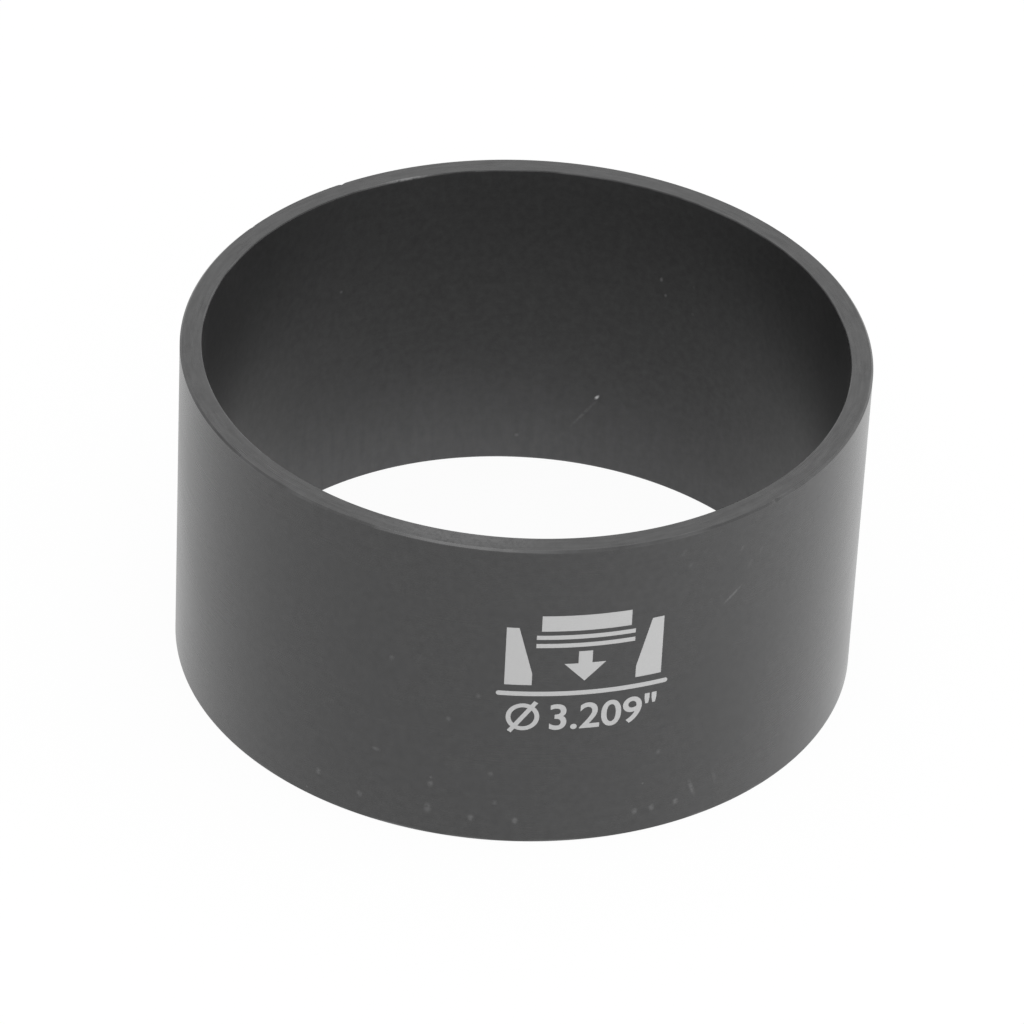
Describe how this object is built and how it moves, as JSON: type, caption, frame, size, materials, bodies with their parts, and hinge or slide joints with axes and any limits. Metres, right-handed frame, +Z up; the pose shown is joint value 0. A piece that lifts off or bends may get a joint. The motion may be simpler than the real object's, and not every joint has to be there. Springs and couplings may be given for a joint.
{
  "type": "piston ring compressor sleeve",
  "caption": "Tapered aluminium sleeve that stands on an engine block over an open cylinder and squeezes a piston's rings to the bore's size as the piston is pushed down through it.",
  "frame": {"origin": "centre of the bottom face, which stands on the engine block's deck", "axes": "+Z up along the bore, from the straight land at the bottom to the wide end at the top; -Y is the side that carries the size mark in the visual model"},
  "size_m": [0.0907, 0.0906, 0.0466],
  "materials": {
    "black_anodise": "satin black anodised, fine turning marks"
  },
  "bodies": {
    "root": {"sleeve": "black_anodise"}
  },
  "joints": []
}
